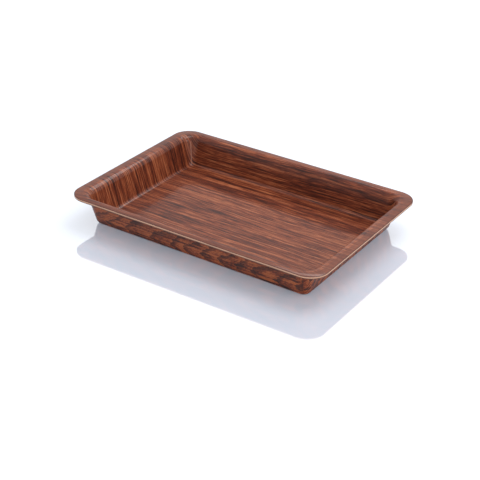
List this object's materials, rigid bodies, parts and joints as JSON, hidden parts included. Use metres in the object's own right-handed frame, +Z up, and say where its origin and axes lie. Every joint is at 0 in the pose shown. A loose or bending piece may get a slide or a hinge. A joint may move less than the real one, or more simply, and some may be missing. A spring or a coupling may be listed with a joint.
{
  "type": "serving tray",
  "caption": "Oblong moulded wood-laminate serving tray: flat rim, steep walls, rounded corners and a flat floor, for carrying cups, plates and food.",
  "frame": {"origin": "centre of the flat underside, on the surface the tray rests on", "axes": "+X along the length, +Y across the width, +Z up out of the open top"},
  "size_m": [0.4, 0.281, 0.046],
  "materials": {
    "face_wood": "straight-grained dark red-brown rosewood under a clear satin finish",
    "core_wood": "pale tan ply, sanded and sealed at the cut edge",
    "back_wood": "loop-grained dark red-brown rosewood under a clear satin finish"
  },
  "bodies": {
    "root": {"face_sheet": "face_wood", "core_ply_1": "core_wood", "core_ply_2": "core_wood", "core_ply_3": "core_wood", "core_ply_4": "core_wood", "core_ply_5": "core_wood", "back_sheet": "back_wood"}
  },
  "joints": []
}
